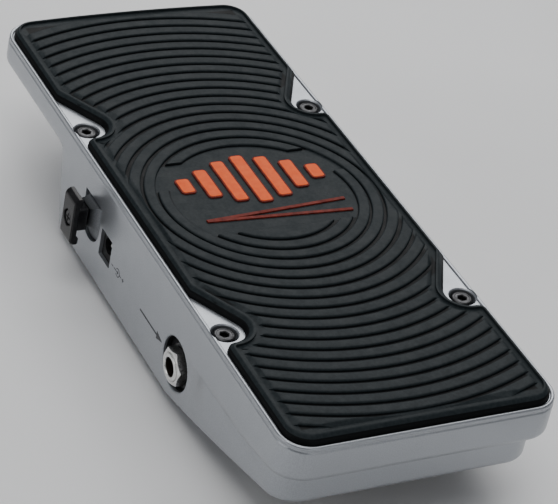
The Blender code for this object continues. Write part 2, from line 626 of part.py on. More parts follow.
def make_return_spring(low, high, parent, material):
    """Open coil between the plunger's flange and the bracket."""
    turns, per_turn, radius, wire = 4, 12, 4.6 * MM, 0.45 * MM
    curve = bpy.data.curves.new("toe_spring", "CURVE")
    curve.dimensions = "3D"
    curve.bevel_depth = wire
    curve.bevel_resolution = 1
    curve.use_fill_caps = True
    spline = curve.splines.new("POLY")
    count = turns * per_turn + 1
    spline.points.add(count - 1)
    span = high - low - 2.2 * wire
    for i in range(count):
        angle = 2 * math.pi * i / per_turn
        height = low + 1.1 * wire + span * i / (count - 1)
        spline.points[i].co = (radius * math.cos(angle), radius * math.sin(angle), height, 1)
    curve.materials.append(material)
    spring = bpy.data.objects.new("toe_spring", curve)
    spring.parent = parent
    bpy.context.scene.collection.objects.link(spring)


# ---------------------------------------------------------------- soles

def make_soles(materials):
    """Rubber that meets the ground: middle pad, sloping heel pad and two toe bumpers."""
    rubber = materials["rubber"]
    upper = SOLE - GAP
    pad = rounded_rectangle((-38 * MM, KINK + 2.5 * MM), (38 * MM, 16 * MM), 5 * MM, 4)
    add_object("middle_sole_pad", prism(pad, 0, upper), rubber, smooth=False)
    for i, x in enumerate((-32 * MM, 32 * MM)):
        levels = [(6.4 * MM, 0), (7 * MM, 0.6 * MM), (7 * MM, upper)]
        add_object(f"toe_bumper_{i + 1}", stepped(levels, 28), rubber,
                   location=(x, 39 * MM, 0))
    length = 62 * MM
    heel_pad = rounded_rectangle((-36 * MM, -length), (36 * MM, 0), 5 * MM, 4)
    heel = add_object("heel_sole_pad", prism(heel_pad, -2.2 * MM, -GAP), rubber, smooth=False,
                      location=(0, KINK - 4 * MM, SOLE + 4 * MM * math.tan(ROCK)))
    heel.rotation_euler = (-ROCK, 0, 0)


def main():
    for obj in list(bpy.data.objects):
        bpy.data.objects.remove(obj, do_unlink=True)
    materials = make_materials()
    make_top_cover(materials)
    make_tread_mat(materials)
    make_cover_screws(materials)
    make_lower_housing(materials)
    make_cable_cleat(materials)
    make_phone_jack("output_jack", -1, materials)
    make_phone_jack("input_jack", 1, materials)
    make_dc_jack(materials)
    make_board(materials)
    make_battery(materials)
    make_toe_switch(materials)
    make_soles(materials)


main()
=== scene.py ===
"""Looks for the rigid rocker effect pedal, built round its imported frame.

X runs across the pedal, Y towards the toe end, Z up, metres. Pieces that show replace their
plain solids with finer meshes in the same place; the rest keep their shape and get materials.
"""
import math

import bpy
import bmesh
from mathutils import Euler, Matrix, Vector


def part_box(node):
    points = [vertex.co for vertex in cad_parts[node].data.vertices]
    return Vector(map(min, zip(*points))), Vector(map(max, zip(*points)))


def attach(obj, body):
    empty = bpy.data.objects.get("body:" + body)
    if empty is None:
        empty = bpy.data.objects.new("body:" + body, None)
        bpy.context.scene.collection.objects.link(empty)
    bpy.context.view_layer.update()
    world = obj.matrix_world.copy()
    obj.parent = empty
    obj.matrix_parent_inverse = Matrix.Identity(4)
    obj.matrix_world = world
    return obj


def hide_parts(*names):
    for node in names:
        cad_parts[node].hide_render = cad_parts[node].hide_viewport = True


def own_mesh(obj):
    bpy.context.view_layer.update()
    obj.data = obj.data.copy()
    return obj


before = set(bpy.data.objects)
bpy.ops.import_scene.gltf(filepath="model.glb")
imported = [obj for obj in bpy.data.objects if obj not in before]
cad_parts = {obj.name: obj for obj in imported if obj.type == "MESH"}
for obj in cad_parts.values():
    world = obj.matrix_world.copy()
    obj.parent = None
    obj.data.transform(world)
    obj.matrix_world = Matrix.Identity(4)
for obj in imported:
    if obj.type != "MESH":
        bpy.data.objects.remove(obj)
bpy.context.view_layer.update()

MM = 0.001

# Places read from the frame
COVER_LOW, COVER_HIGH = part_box("top_cover")
TOP = COVER_HIGH.z                  # top of the bead round the cover
HALF = COVER_HIGH.x
LENGTH = COVER_HIGH.y - COVER_LOW.y
JACK_LOW, JACK_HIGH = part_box("output_jack_washer")
JACK_Y = (JACK_LOW.y + JACK_HIGH.y) / 2
JACK_Z = (JACK_LOW.z + JACK_HIGH.z) / 2
CLEAT_LOW, CLEAT_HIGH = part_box("cable_cleat")

# Case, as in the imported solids. Bare numbers in the tables further on are millimetres.
CORNER = 10 * MM
TOE_BOW = 1.8 * MM
WALL = 2.5 * MM
SOLE = 2.5 * MM
SEAM = TOP - 10.86 * MM             # cover meets housing
HULL_HALF = HALF - 0.005 * MM
HULL_HEEL = -LENGTH / 2 + 0.03 * MM
KINK = -43 * MM
ROCK = math.radians(11.3)
FRONT_LOW = 55.5 * MM
FRONT_HIGH = 61.5 * MM
PARTING = TOP - 11 * MM
HULL_ROUND = 2.6 * MM
HEEL_CORNER = 9.97 * MM
FRONT_CORNER = 8 * MM
SHOULDER_HEEL = TOP - 14 * MM
SHOULDER_SIDE = TOP - 17.5 * MM
STEP_HEEL = 4.2 * MM
STEP_SIDE = 3.8 * MM
STEP_START = -52 * MM
POCKET_Z = TOP - 25.3 * MM
POCKET_R = 9.1 * MM
DC_Y = 12.8 * MM
DC_Z = TOP - 22.2 * MM
NOTCH_Y = 26 * MM
NOTCH_HALF = 7 * MM
NOTCH_LOW = TOP - 27.4 * MM
SWITCH_Y = 33 * MM
BRACKET_X = 20 * MM
PLUNGER_HOLE = 5.4 * MM
JACK_HOLE = 4.95 * MM
SOCKET_Y = 4.5 * MM                 # half sizes of the power opening
SOCKET_Z = 5.2 * MM
SOCKET_EDGE = 1.3 * MM              # bare wall shown round the power opening
TOE_EASE = 53.5 * MM                # where the cover's lower edge starts to round

# Nuts and cleat
NUT_FLAT = 5.63 * MM
NUT_BORE = 4.62 * MM
CLEAT_Z = TOP - 17.5 * MM
STEM_HALF = 3.5 * MM
STEM_LOW = CLEAT_Z - 3.6 * MM
STEM_HIGH = CLEAT_Z + 4.7 * MM

# Screws in the top
SCREW_X = 42.4 * MM
SCREW_Y = (49.9 * MM, -62.8 * MM)
HEAD_SEAT = TOP - 4.2 * MM
COUNTERBORE = 4.3 * MM
SCREW_HOLE = 2.3 * MM
BOSS = 4.2 * MM

# Tread
MAT_INSET = 1.75 * MM
MAT_FLOOR = TOP + 1.55 * MM         # sunk field that the ribs stand on
MAT_CREST = TOP + 2.36 * MM
RIB_PITCH = 5.17 * MM
RIB_WIDTH = 4.0 * MM
RIB_FIRST = 24.78 * MM              # inner radius of ring 0
RING_Y = -1.3 * MM                  # middle of the rings
RING_SQUASH = 0.935                 # height of the inner rings over their width
TOE_CUT = 22.3 * MM                 # where the inner arcs stop
SIDE_CUT = 7.8 * MM
CHORD_Y = -18.3 * MM
RIB_REACH = 44.5 * MM
OUTER_RINGS = range(4, 18)          # rings that run out to the tread's sides
BAR_HEIGHTS = (4.2, 8.0, 11.6, 13.6, 11.6, 8.0, 4.2)
BAR_PITCH = 8
BAR_Y = 9.4 * MM
BAR_HALF = 2.75 * MM

# Bounds of the smooth floor between the ribs
MIDDLE_R = 29.5 * MM
GAP_R = 34.7 * MM
FIELD_SIDE = 40.6 * MM
FIELD_END = 112.4 * MM
BAY_REACH = 11.6 * MM


# ------------------------ camera

def make_camera():
    camera = bpy.data.objects.new("camera", bpy.data.cameras.new("camera"))
    bpy.context.scene.collection.objects.link(camera)
    camera.location = (-0.3567379, -0.5727653, 0.4466493 + TOP)
    camera.rotation_euler = [math.radians(a) for a in (54.7618, -9.9630, -25.7309)]
    camera.data.sensor_width = 36
    camera.data.lens = 158.18
    camera.data.clip_start = 0.01
    bpy.context.scene.camera = camera


make_camera()


# ------------------------ materials

class Nodes:
    """Short helpers for one material's node tree."""

    def __init__(self, name, **sockets):
        self.material = bpy.data.materials.new(name)
        self.material.use_nodes = True
        self.tree = self.material.node_tree
        self.shader = self.tree.nodes["Principled BSDF"]
        for key, value in sockets.items():
            self.shader.inputs[key.replace("_", " ")].default_value = value
        self.place = self.tree.nodes.new("ShaderNodeTexCoord").outputs["Object"]

    def noise(self, scale, detail=3.0, stretch=(1, 1, 1)):
        mapping = self.tree.nodes.new("ShaderNodeMapping")
        mapping.inputs["Scale"].default_value = stretch
        self.tree.links.new(self.place, mapping.inputs["Vector"])
        node = self.tree.nodes.new("ShaderNodeTexNoise")
        node.inputs["Scale"].default_value = scale
        node.inputs["Detail"].default_value = detail
        self.tree.links.new(mapping.outputs["Vector"], node.inputs["Vector"])
        return node.outputs["Fac"]

    def ramp(self, source, low, high, start=0.35, end=0.65):
        node = self.tree.nodes.new("ShaderNodeValToRGB")
        node.color_ramp.elements[0].position = start
        node.color_ramp.elements[1].position = end
        node.color_ramp.elements[0].color = (*low, 1)
        node.color_ramp.elements[1].color = (*high, 1)
        self.tree.links.new(source, node.inputs["Fac"])
        return node.outputs["Color"]

    def mix(self, share, a, b):
        node = self.tree.nodes.new("ShaderNodeMix")
        node.data_type = "RGBA"
        self.tree.links.new(share, node.inputs["Factor"])
        for socket, value in ((node.inputs[6], a), (node.inputs[7], b)):
            if isinstance(value, tuple):
                socket.default_value = (*value, 1)
            else:
                self.tree.links.new(value, socket)
        return node.outputs[2]

    def axes(self):
        node = self.tree.nodes.new("ShaderNodeSeparateXYZ")
        self.tree.links.new(self.place, node.inputs["Vector"])
        return node.outputs["X"], node.outputs["Y"], node.outputs["Z"]

    def math(self, operation, *values):
        node = self.tree.nodes.new("ShaderNodeMath")
        node.operation = operation
        for socket, value in zip(node.inputs, values):
            if isinstance(value, float):
                socket.default_value = value
            else:
                self.tree.links.new(value, socket)
        return node.outputs["Value"]

    def both(self, first, *others):
        for other in others:
            first = self.math("MULTIPLY", first, other)
        return first

    def distance(self, a, a0, b, b0):
        squares = [self.math("POWER", self.math("SUBTRACT", value, middle), 2.0)
                   for value, middle in ((a, a0), (b, b0))]
        return self.math("SQRT", self.math("ADD", *squares))

    def span(self, source, low, high, start=0.3, end=0.7):
        node = self.tree.nodes.new("ShaderNodeMapRange")
        for key, value in (("From Min", start), ("From Max", end), ("To Min", low),
                           ("To Max", high)):
            node.inputs[key].default_value = value
        self.tree.links.new(source, node.inputs["Value"])
        return node.outputs["Result"]

    def past(self, source, edge, width=0.3 * MM):
        """0 below an edge, 1 beyond it, softened over a width."""
        return self.span(source, 0.0, 1.0, edge, edge + width)

    def within(self, source, edge, width=0.3 * MM):
        return self.span(source, 1.0, 0.0, edge, edge + width)

    def most(self, first, *others):
        for other in others:
            first = self.math("MAXIMUM", first, other)
        return first

    def colour(self, source):
        self.tree.links.new(source, self.shader.inputs["Base Color"])

    def roughness(self, source):
        self.tree.links.new(source, self.shader.inputs["Roughness"])

    def bump(self, *layers):
        """Each layer is (height source, strength, distance); later ones ride on earlier."""
        last = None
        for source, strength, distance in layers:
            node = self.tree.nodes.new("ShaderNodeBump")
            node.inputs["Strength"].default_value = strength
            node.inputs["Distance"].default_value = distance
            self.tree.links.new(source, node.inputs["Height"])
            if last:
                self.tree.links.new(last, node.inputs["Normal"])
            last = node.outputs["Normal"]
        self.tree.links.new(last, self.shader.inputs["Normal"])


def flaked(m, rough):
    """Fine metal flake in paint round one roughness; gives the flake's colour."""
    flake = m.noise(2600, 2)
    m.roughness(m.span(m.noise(160, 5), rough - 0.05, rough + 0.05))
    m.bump((m.noise(420, 3), 0.05, 0.0002), (flake, 0.10, 0.00006))
    return m.ramp(flake, (0.315, 0.332, 0.358), (0.425, 0.446, 0.474))


def silver_paint():
    """Die-cast case: satin metallic paint with a little unevenness."""
    m = Nodes("silver_paint", Metallic=0.72, IOR=1.5, Coat_Weight=0.35, Coat_Roughness=0.16)
    m.colour(m.mix(m.noise(22, 4), flaked(m, 0.35), (0.365, 0.382, 0.408)))
    return m.material


def silver_with_painted_shade():
    """The plate under the cleat: the same paint with painted shade, going near black towards the
    cleat where the notch lies in shade.
    """
    m = Nodes("silver_with_painted_shade", Metallic=0.72, Specular_IOR_Level=0.2)
    # Painted shade: near black beyond the wall's face, growing lighter inwards over 7.5 mm.
    shade = m.past(m.axes()[0], -HALF - 3.0 * MM, 7.5 * MM)
    m.colour(m.mix(shade, (0.004, 0.005, 0.006), flaked(m, 0.41)))
    return m.material


def tread_rubber():
    """Moulded rubber: charcoal with random grain and dust, with painted shade that turns it near
    black down between the ribs.
    """
    m = Nodes("tread_rubber", Specular_IOR_Level=0.09)
    x, y, z = m.axes()
    grain = m.ramp(m.noise(900, 4), (0.0135, 0.0185, 0.021), (0.0205, 0.0265, 0.0295))
    dust = m.ramp(m.noise(90, 6), (0, 0, 0), (0.15, 0.15, 0.15), 0.5, 0.8)
    top = m.mix(dust, grain, (0.040, 0.044, 0.045))
    reach = m.distance(m.math("MULTIPLY", x, RING_SQUASH), 0.0, y, RING_Y)
    middle = m.both(m.within(reach, MIDDLE_R), m.past(y, CHORD_Y))
    gap = m.both(m.within(reach, GAP_R), m.past(y, SIDE_CUT + 0.4 * MM),
                 m.within(y, TOE_CUT - 0.6 * MM))
    across, along = m.math("ABSOLUTE", x), m.math("ABSOLUTE", y)
    border = m.most(m.past(across, FIELD_SIDE, 0.5 * MM), m.past(along, FIELD_END, 0.5 * MM))
    from_middle = m.math("ABSOLUTE", m.math("SUBTRACT", y, sum(SCREW_Y) / 2))
    bay = m.within(m.distance(across, SCREW_X, from_middle, (SCREW_Y[0] - SCREW_Y[1]) / 2),
                   BAY_REACH, 0.6 * MM)
    # Painted shade: below the rib tops the rubber takes the near-black colour in the mix below.
    # This covers the valleys between the ribs, the feet of the rib walls and the lower part of
    # the tread's outer edge. The smooth floor round the middle, along the sides and in the bays
    # keeps the rubber colour.
    inside = m.past(z, MAT_FLOOR - 0.15 * MM, 0.1 * MM)
    raised = m.past(z, MAT_FLOOR + 0.02 * MM, 0.38 * MM)
    share = m.most(raised, m.both(inside, m.most(middle, gap, border, bay)))
    m.colour(m.mix(share, (0.003, 0.0035, 0.004), top))
    m.roughness(m.span(m.noise(240, 4), 0.44, 0.56))
    m.bump((m.noise(700, 4), 0.10, 0.0001), (m.noise(3600, 2), 0.20, 0.00005))
    return m.material


def plain_rubber():
    m = Nodes("sole_rubber", Specular_IOR_Level=0.35)
    m.colour(m.ramp(m.noise(500, 4), (0.016, 0.017, 0.018), (0.032, 0.033, 0.034)))
    m.roughness(m.span(m.noise(150, 4), 0.62, 0.82))
    m.bump((m.noise(1500, 3), 0.3, 0.0001))
    return m.material


def enamel(name, low, high):
    """Paint filled into the tread: slightly mottled, worn thin in places."""
    m = Nodes(name, Specular_IOR_Level=0.06)
    m.colour(m.ramp(m.noise(420, 4), low, high))
    m.roughness(m.span(m.noise(260, 3), 0.36, 0.5))
    m.bump((m.noise(1300, 3), 0.15, 0.00006))
    return m.material


def bright_nickel():
    m = Nodes("bright_nickel", Metallic=1.0)
    m.colour(m.ramp(m.noise(300, 4), (0.74, 0.735, 0.72), (0.84, 0.835, 0.82)))
    m.roughness(m.span(m.noise(900, 3, (1, 6, 6)), 0.24, 0.38))
    m.bump((m.noise(1200, 2, (1, 8, 8)), 0.05, 0.00003))
    return m.material


def metal(name, low, high, rough, scales, relief, metallic=1.0):
    """Scales are the noise scales of colour, roughness and relief."""
    m = Nodes(name, Metallic=metallic)
    m.colour(m.ramp(m.noise(scales[0], 4), low, high))
    m.roughness(m.span(m.noise(scales[1], 4), *rough))
    m.bump((m.noise(scales[2], 3), *relief))
    return m.material


def plastic(name, low, high, rough, grain, shine=0.5):
    m = Nodes(name, Specular_IOR_Level=shine)
    m.colour(m.ramp(m.noise(600, 3), low, high))
    m.roughness(m.span(m.noise(420, 5), rough - 0.06, rough + 0.06))
    m.bump((m.noise(2400, 3), grain, 0.00005))
    return m.material


def circuit_board():
    """Green solder mask with darker traces between pads."""
    m = Nodes("circuit_board", Specular_IOR_Level=0.5, Coat_Weight=0.3, Coat_Roughness=0.2)
    traces = m.ramp(m.noise(330, 0, (1, 4, 1)), (0, 0, 0), (1, 1, 1), 0.48, 0.52)
    m.colour(m.mix(traces, (0.012, 0.085, 0.040), (0.020, 0.130, 0.060)))
    m.roughness(m.span(m.noise(700, 2), 0.30, 0.42))
    m.bump((traces, 0.2, 0.00004))
    return m.material


def foam():
    m = Nodes("foam", Specular_IOR_Level=0.1)
    cells = m.noise(1400, 5)
    m.colour(m.ramp(cells, (0.07, 0.07, 0.075), (0.22, 0.22, 0.23)))
    m.roughness(m.span(cells, 0.85, 0.98))
    m.bump((cells, 0.8, 0.0003))
    return m.material


def make_materials():
    black = (0.010, 0.010, 0.011)
    return {
        "silver": silver_paint(),
        "shaded": silver_with_painted_shade(),
        "tread": tread_rubber(),
        "rubber": plain_rubber(),
        "orange": enamel("orange_enamel", (0.86, 0.115, 0.026), (0.92, 0.145, 0.034)),
        "maroon": enamel("maroon_enamel", (0.11, 0.014, 0.010), (0.20, 0.028, 0.018)),
        "print": enamel("grey_print", (0.06, 0.06, 0.065), (0.11, 0.11, 0.115)),
        "nickel": bright_nickel(),
        "oxide": metal("black_oxide", (0.030, 0.030, 0.032), (0.065, 0.065, 0.068),
                       (0.26, 0.42), (800, 500, 1800), (0.12, 0.00004), 0.85),
        "steel": metal("zinc_steel", (0.48, 0.49, 0.50), (0.62, 0.63, 0.64),
                       (0.25, 0.42), (500, 300, 1500), (0.1, 0.00005)),
        "gloss": plastic("gloss_black", black, (0.018, 0.018, 0.019), 0.18, 0.03, 0.22),
        "black": plastic("satin_black", black, (0.022, 0.022, 0.023), 0.42, 0.12, 0.15),
        "chip": plastic("chip_black", (0.018, 0.018, 0.02), (0.03, 0.03, 0.033), 0.5, 0.2),
        "jacket": plastic("battery_jacket", (0.05, 0.055, 0.07), (0.08, 0.085, 0.10), 0.32, 0.05),
        "board": circuit_board(),
        "foam": foam(),
        "brass": metal("spring_brass", (0.60, 0.44, 0.20), (0.76, 0.60, 0.32),
                       (0.2, 0.38), (500, 400, 1500), (0.08, 0.00005)),
        "bore": plastic("bore_shadow", (0.006, 0.004, 0.003), (0.02, 0.012, 0.008), 0.4, 0.1),
    }


# ------------------------ mesh helpers

def add_object(name, bm, material=None, angle=32):
    """Link a bmesh as an object with outward faces, smooth except at sharp edges."""
    bmesh.ops.recalc_face_normals(bm, faces=bm.faces)
    mesh = bpy.data.meshes.new(name)
    bm.to_mesh(mesh)
    bm.free()
    obj = bpy.data.objects.new(name, mesh)
    bpy.context.scene.collection.objects.link(obj)
    finish_surface(obj, material, angle)
    return obj


def finish_surface(obj, material, angle=32):
    if material:
        obj.data.materials.clear()
        obj.data.materials.append(material)
    obj.data.shade_smooth()
    obj.data.set_sharp_from_angle(angle=math.radians(angle))


def bake(obj):
    """Replace an object's mesh by its modified one, and drop the modifiers."""
    bpy.context.view_layer.update()
    result = bpy.data.meshes.new_from_object(
        obj.evaluated_get(bpy.context.evaluated_depsgraph_get()))
    obj.modifiers.clear()
    obj.data = result


def combine(target, operation, *tools):
    """Exact Booleans of tool meshes on a target; the tools are used up."""
    objects = [add_object("tool", tool) if isinstance(tool, bmesh.types.BMesh) else tool
               for tool in tools]
    for tool in objects:
        modifier = target.modifiers.new("boolean", "BOOLEAN")
        modifier.operation = operation
        modifier.solver = "EXACT"
        modifier.object = tool
    bake(target)
    for tool in objects:
        bpy.data.objects.remove(tool)


def skin(rings, close=False):
    """Faces between rings of equal point count; gives the mesh and its rows of vertices."""
    bm = bmesh.new()
    rows = [[bm.verts.new(point) for point in ring] for ring in rings]
    count = len(rows[0])
    for lower, upper in zip(rows, rows[1:] + rows[:1] if close else rows[1:]):
        for i in range(count):
            j = (i + 1) % count
            bm.faces.new((lower[i], lower[j], upper[j], upper[i]))
    return bm, rows


def loft(rings, close=False):
    """Rings skinned and capped flat at both ends, or closed on itself."""
    bm, rows = skin(rings, close)
    if not close:
        bm.faces.new(rows[0])
        bm.faces.new(rows[-1])
    return bm


def prism(outline, low, high, edge=0.0):
    """Extrude an outline between two heights, its upper edge optionally eased."""
    rings = [[(x, y, z) for x, y in outline] for z in (low, high - edge)]
    if edge:
        rings.append([(x, y, high) for x, y in shrunk(outline, edge)])
    return loft(rings)


def shrunk(outline, amount):
    """Move each point of an outline inwards along its corner's normal."""
    points = [Vector(p) for p in outline]
    turn = sum(a.x * b.y - b.x * a.y for a, b in zip(points, points[1:] + points[:1]))
    amount = math.copysign(amount, turn)
    result = []
    for i, point in enumerate(points):
        before = (point - points[i - 1]).normalized()
        after = (points[(i + 1) % len(points)] - point).normalized()
        normal = Vector((-(before.y + after.y), before.x + after.x)).normalized()
        share = max(normal.dot(Vector((-before.y, before.x))), 0.3)
        result.append(tuple(point + normal * (amount / share)))
    return result


def circle(radius, segments, centre=(0, 0)):
    steps = [2 * math.pi * i / segments for i in range(segments)]
    return [(centre[0] + radius * math.cos(a), centre[1] + radius * math.sin(a)) for a in steps]


def arc(centre, radius, start, end, steps):
    """Points along an arc, both ends included; angles in degrees."""
    angles = [math.radians(start + (end - start) * i / steps) for i in range(steps + 1)]
    return [(centre[0] + radius * math.cos(a), centre[1] + radius * math.sin(a)) for a in angles]


def rounded_rectangle(low, high, radius, steps=8):
    corners = [(high[0] - radius, high[1] - radius, 0), (low[0] + radius, high[1] - radius, 90),
               (low[0] + radius, low[1] + radius, 180), (high[0] - radius, low[1] + radius, 270)]
    return [point for x, y, start in corners
            for point in arc((x, y), radius, start, start + 90, steps)]


def scaled(table):
    """Rows of millimetres in metres."""
    return [tuple(value * MM for value in row) for row in table]


def turned(profile):
    """Closed (radius, height) profile turned about Z."""
    segments, rings = 64, []
    for i in range(segments):
        angle = 2 * math.pi * i / segments
        rings.append([(r * math.cos(angle), r * math.sin(angle), z) for r, z in profile])
    return loft(rings, close=True)


def stepped(levels, segments=48):
    """Coaxial discs, one on top of the other; levels are (radius, height)."""
    return loft([[(x, y, z) for x, y in circle(r, segments)] for r, z in levels])


def block(low, high, bevel=0.0):
    bm = bmesh.new()
    bmesh.ops.create_cube(bm, size=1.0)
    size, middle = Vector(high) - Vector(low), (Vector(high) + Vector(low)) / 2
    for vert in bm.verts:
        vert.co = Vector([vert.co[i] * size[i] + middle[i] for i in range(3)])
    if bevel:
        bmesh.ops.bevel(bm, geom=bm.edges[:], offset=bevel, segments=3, profile=0.5,
                        affect="EDGES")
    return bm


def post(x, y, low, high, radius, segments=32):
    return prism(circle(radius, segments, (x, y)), low, high)


def moved(bm, matrix):
    bmesh.ops.transform(bm, matrix=matrix, verts=bm.verts)
    return bm


def wall_frame(side, y, z, x=HULL_HALF):
    """Matrix whose +Z points out of a side wall."""
    turn = Euler((0, side * math.pi / 2, 0)).to_matrix().to_4x4()
    return Matrix.Translation((side * x, y, z)) @ turn


def slab_x(outline, x0, x1):
    """Extrude a (y, z) outline along X."""
    return loft([[(x, y, z) for y, z in outline] for x in (x0, x1)])


def joined(parts):
    """Merge several bmeshes into one."""
    whole = bmesh.new()
    for part in parts:
        mesh = bpy.data.meshes.new("part")
        part.to_mesh(mesh)
        part.free()
        whole.from_mesh(mesh)
        bpy.data.meshes.remove(mesh)
    return whole


def show(piece, slot, *nodes, body="housing"):
    """Ride a finished piece on its body, in place of the plain solids it stands for."""
    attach(piece, body)
    if nodes:
        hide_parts(*nodes)
    return piece


# ------------------------ plan outlines

def plan_outline(inset, heel=0.0):
    """The tread's plan: a rounded rectangle with a bowed toe edge; heel moves the heel edge.

    Extra points stand along the toe edge and where the cover's lower edge starts to round.
    """
    corner_steps, edge_steps = 14, 24
    low = (-HALF + inset, -LENGTH / 2 + inset + heel)
    high = (HALF - inset, LENGTH / 2 - inset)
    base = rounded_rectangle(low, high, max(CORNER - inset, 1.2 * MM), corner_steps)
    right, left = base[corner_steps], base[corner_steps + 1]
    extra = [(right[0] + (left[0] - right[0]) * i / edge_steps, right[1])
             for i in range(1, edge_steps)]
    half_way = 2 * (corner_steps + 1)
    sides = [(46 + 1.5 * i) * MM for i in range(11)]
    points = base[:corner_steps + 1] + extra + base[corner_steps + 1:half_way]
    points += [(low[0], y) for y in reversed(sides)] + base[half_way:]
    points += [(high[0], y) for y in sides]
    bow = LENGTH / 2 - CORNER - 1 * MM
    return [(x, y - TOE_BOW * (x / HALF) ** 2 * min(max(y, 0.0) / bow, 1.0))
            for x, y in points]


def bay_outline(side, screw_y, inset, grow):
    """Bay round a screw: long toe-side ramp, arc round the screw, soft corner below it."""
    far = HALF + 4 * MM
    radius = 6.3 * MM + grow
    ramp_y = screw_y + 20 * MM + 2.04 * grow
    points = [(far, ramp_y), (46.4 * MM, ramp_y)]
    points += arc((SCREW_X, screw_y), radius, 150, 268, 24)
    bend = max(4.1 * MM - grow, 0.6 * MM)
    centre = (HALF - MAT_INSET - inset - bend, screw_y - radius - bend)
    points += arc(centre, bend, 86, 8, 8)
    points.append((far, points[-1][1]))
    return [(side * x, y) for x, y in points]


def screw_places():
    return [(side * SCREW_X, y) for y in SCREW_Y for side in (-1, 1)]


def bays(levels):
    """Four bay-shaped lofts; levels are (height, inset, grow), bottom to top."""
    parts = []
    for x, y in screw_places():
        side = math.copysign(1, x)
        parts.append(loft([[(px, py, z) for px, py in bay_outline(side, y, inset, grow)]
                           for z, inset, grow in levels]))
    return joined(parts)


# ------------------------ tread

def rib_profile():
    """Softly crowned section of one rib: (distance across, height)."""
    side = [(0.0, MAT_FLOOR - 0.3 * MM), (0.08 * MM, TOP + 2.0 * MM), (0.2 * MM, TOP + 2.2 * MM),
            (0.5 * MM, TOP + 2.32 * MM), (1.0 * MM, TOP + 2.355 * MM)]
    other = [(RIB_WIDTH - u, z) for u, z in reversed(side)]
    return side + [(RIB_WIDTH / 2, TOP + 2.365 * MM)] + other


def ring_widening(index):
    """The inner rings are a little wider than tall."""
    return {-1: 2.0 * MM, 0: 2.0 * MM, 1: 2.0 * MM, 2: 1.3 * MM}.get(index, 1.0 * MM)


def ring_arc(index, toeward, cut_y=None, reach=None):
    """One arc of ring index on the toe or heel side of the middle.

    It ends level at height cut_y, or beyond the half-width reach.
    """
    sign = 1 if toeward else -1
    inner = RIB_FIRST + index * RIB_PITCH
    widening = ring_widening(index)
    count = max(int((inner + RIB_WIDTH) / (0.9 * MM)), 48) if cut_y is not None else 72
    rings = []
    for i in range(count + 1):
        ring = []
        for u, z in rib_profile():
            b = inner + u
            a = b + widening
            if cut_y is not None:
                end = math.acos(max(min(sign * (cut_y - RING_Y) / b, 1), -1))
            else:
                end = math.asin(min(reach / a, 1.0))
            angle = end * (2 * i / count - 1)
            ring.append((a * math.sin(angle), RING_Y + sign * b * math.cos(angle), z))
        rings.append(ring)
    return loft(rings)


def full_ring(index):
    inner, widening = RIB_FIRST + index * RIB_PITCH, ring_widening(index)
    segments, rings = 144, []
    for i in range(segments):
        angle = 2 * math.pi * i / segments
        rings.append([((inner + u + widening) * math.sin(angle),
                       RING_Y + (inner + u) * math.cos(angle), z)
                      for u, z in rib_profile()])
    return loft(rings, close=True)


def chord_rib(cut_y):
    """The innermost rib on the heel side: a low segment with a straight toe-side edge."""
    steps, b = 40, RIB_FIRST - RIB_PITCH + RIB_WIDTH
    rings = []
    for u, z in rib_profile()[:6]:
        low = b - u
        half_angle = math.acos((RING_Y - cut_y + u) / low)
        points = []
        for i in range(steps + 1):
            angle = half_angle * (2 * i / steps - 1)
            points.append(((low + ring_widening(-1)) * math.sin(angle),
                           RING_Y - low * math.cos(angle), z))
        rings.append(points)
    return loft(rings)


def make_ribs():
    """All ribs, cut off along a line that follows the tread's edge and bays."""
    outer = [full_ring(OUTER_RINGS[0] - 1)]
    outer += [ring_arc(n, toeward, reach=RIB_REACH)
              for n in OUTER_RINGS for toeward in (True, False)]
    ribs = add_object("ribs", joined(outer))
    ends = ((4.2 * MM, TOP + 1 * MM), (7.8 * MM, TOP + 2.8 * MM))
    limit = add_object("limit", loft([[(x, y, z) for x, y in plan_outline(inset, 0.8 * MM)]
                                      for inset, z in ends]))
    combine(limit, "DIFFERENCE", bays([(TOP + 0.99 * MM, 3.0 * MM, 3.1 * MM),
                                       (TOP + 2.81 * MM, 6.0 * MM, 6.7 * MM)]))
    combine(ribs, "INTERSECT", limit)
    middle = joined([full_ring(2), ring_arc(1, True, cut_y=TOE_CUT),
                     ring_arc(1, False, cut_y=SIDE_CUT), ring_arc(0, False, cut_y=CHORD_Y),
                     chord_rib(CHORD_Y)])
    return ribs, add_object("middle_ribs", middle)


def make_tread(materials):
    """Rubber mat: sloping edge, narrow crest, sunk field and raised ribs.

    Levels are (height, inset, how far the bays round the screws grow).
    """
    levels = [(TOP - 0.58 * MM, 0.0, 0.0), (TOP + 0.9 * MM, 0.22 * MM, 0.35 * MM),
              (TOP + 1.2 * MM, 0.42 * MM, 0.7 * MM), (TOP + 2.1 * MM, 1.15 * MM, 1.85 * MM),
              (TOP + 2.28 * MM, 1.35 * MM, 2.15 * MM), (MAT_CREST, 1.6 * MM, 2.5 * MM)]
    rings = [[(x, y, z) for x, y in plan_outline(MAT_INSET + inset, 0.45 * inset)]
             for z, inset, _ in levels]
    mat = add_object("tread_skin", loft(rings))
    first, last = levels[0], levels[-1]
    cutter = [(first[0] - 1 * MM, *first[1:])] + levels + [(last[0] + 1 * MM, *last[1:])]
    combine(mat, "DIFFERENCE", bays(cutter))
    sides = ((MAT_FLOOR, 2.15 * MM), (MAT_CREST + 1 * MM, 1.95 * MM))
    field = add_object("field", loft([[(x, y, z) for x, y in
                                       plan_outline(MAT_INSET + inset, 0.85 * MM)]
                                      for z, inset in sides]))
    combine(field, "DIFFERENCE", bays([(MAT_FLOOR - 1 * MM, 2.15 * MM, 3.1 * MM),
                                       (MAT_FLOOR, 2.15 * MM, 3.1 * MM),
                                       (MAT_CREST + 2 * MM, 1.95 * MM, 2.85 * MM)]))
    combine(mat, "DIFFERENCE", field)
    combine(mat, "UNION", *make_ribs())
    finish_surface(mat, materials["tread"], 38)
    show(mat, "black_rubber", "tread_mat")


